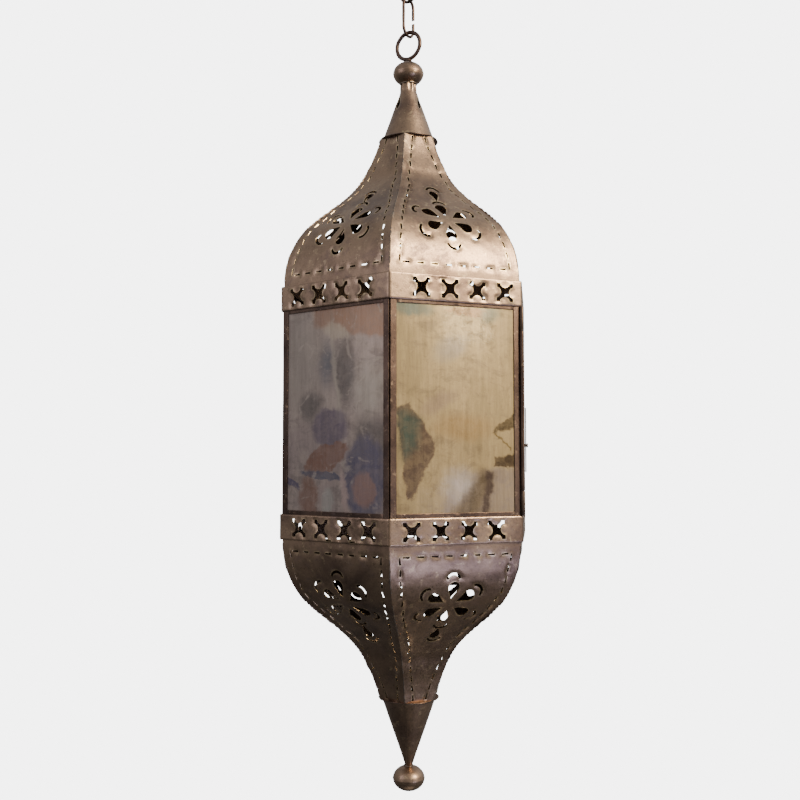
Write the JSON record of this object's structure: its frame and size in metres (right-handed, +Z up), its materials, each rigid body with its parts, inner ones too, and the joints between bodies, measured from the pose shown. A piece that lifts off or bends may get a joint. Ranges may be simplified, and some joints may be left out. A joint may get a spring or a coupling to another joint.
{
  "type": "moroccan metal lantern",
  "caption": "Hexagonal hanging lantern of pierced sheet metal with ogee domes, mirror glass panes and a hinged door, on a short chain and hook.",
  "frame": {"origin": "where the hook's screw enters the ceiling, on the lantern's axis", "axes": "+Z up along the lantern's axis, +X out through the middle of the hinged door"},
  "size_m": [0.2388, 0.272, 0.9504],
  "materials": {
    "aged_bronze_sheet": "aged bronze patina, satin, hand worked",
    "bronze_frame": "aged bronze patina, satin",
    "inner_sheet": "dull, smoke stained",
    "dark_iron": "dark brown oxidised wire",
    "dark_fittings": "dark oxidised",
    "antique_mirror": "antiqued mirror glass with mottled silvering"
  },
  "bodies": {
    "ceiling_hook": {"ceiling_hook": "dark_iron"},
    "chain_link_3": {"chain_link_3": "dark_iron"},
    "chain_link_2": {"chain_link_2": "dark_iron"},
    "chain_link_1": {"chain_link_1": "dark_iron"},
    "lantern": {"hanging_eye": "dark_iron", "top_ball_upper": "aged_bronze_sheet", "top_ball_lower": "aged_bronze_sheet", "top_cone": "aged_bronze_sheet", "top_disc": "aged_bronze_sheet", "upper_gore_1": "aged_bronze_sheet", "upper_gore_2": "aged_bronze_sheet", "upper_gore_3": "aged_bronze_sheet", "upper_gore_4": "aged_bronze_sheet", "upper_gore_5": "aged_bronze_sheet", "upper_gore_6": "aged_bronze_sheet", "upper_band": "aged_bronze_sheet", "upper_rails": "bronze_frame", "corner_post_1": "bronze_frame", "corner_post_2": "bronze_frame", "corner_post_3": "bronze_frame", "corner_post_4": "bronze_frame", "corner_post_5": "bronze_frame", "corner_post_6": "bronze_frame", "glass_pane_1": "antique_mirror", "glass_pane_2": "antique_mirror", "glass_pane_3": "antique_mirror", "glass_pane_4": "antique_mirror", "glass_pane_5": "antique_mirror", "lower_rails": "bronze_frame", "lower_band": "aged_bronze_sheet", "floor_plate": "inner_sheet", "candle_cup": "inner_sheet", "lower_gore_1": "aged_bronze_sheet", "lower_gore_2": "aged_bronze_sheet", "lower_gore_3": "aged_bronze_sheet", "lower_gore_4": "aged_bronze_sheet", "lower_gore_5": "aged_bronze_sheet", "lower_gore_6": "aged_bronze_sheet", "bottom_disc": "aged_bronze_sheet", "bottom_cone": "aged_bronze_sheet", "bottom_ball_upper": "aged_bronze_sheet", "bottom_ball_lower": "aged_bronze_sheet", "hinge_knuckles": "bronze_frame", "hinge_pin": "dark_fittings", "latch_spacer": "dark_fittings", "latch_rivet": "dark_fittings"},
    "door": {"door_hinge_stile": "bronze_frame", "door_latch_stile": "bronze_frame", "door_top_rail": "bronze_frame", "door_bottom_rail": "bronze_frame", "door_glass": "antique_mirror"},
    "turn_button": {"latch_bar": "dark_fittings"}
  },
  "joints": [
    {"name": "hook_swing", "type": "hinge", "parent": "ceiling_hook", "child": "chain_link_3", "pos_m": [0, 0, -0.03425], "axis": [0.8988, -0.4384, 0], "range_deg": [-35, 35]},
    {"name": "link_3_swing", "type": "hinge", "parent": "chain_link_3", "child": "chain_link_2", "pos_m": [0, 0, -0.07065], "axis": [0.4384, 0.8988, 0], "range_deg": [-35, 35]},
    {"name": "link_2_swing", "type": "hinge", "parent": "chain_link_2", "child": "chain_link_1", "pos_m": [0, 0, -0.10795], "axis": [0.8988, -0.4384, 0], "range_deg": [-35, 35]},
    {"name": "link_1_swing", "type": "hinge", "parent": "chain_link_1", "child": "lantern", "pos_m": [0, 0, -0.14525], "axis": [0.4384, 0.8988, 0], "range_deg": [-35, 35]},
    {"name": "door_hinge", "type": "hinge", "parent": "lantern", "child": "door", "pos_m": [0.11717, -0.06765, -0.54336], "axis": [0, 0, -1], "range_deg": [0, 150]},
    {"name": "turn_button_pivot", "type": "hinge", "parent": "lantern", "child": "turn_button", "pos_m": [0.1185, 0.06173, -0.57426], "axis": [1, 0, 0], "range_deg": [0, 90]}
  ]
}
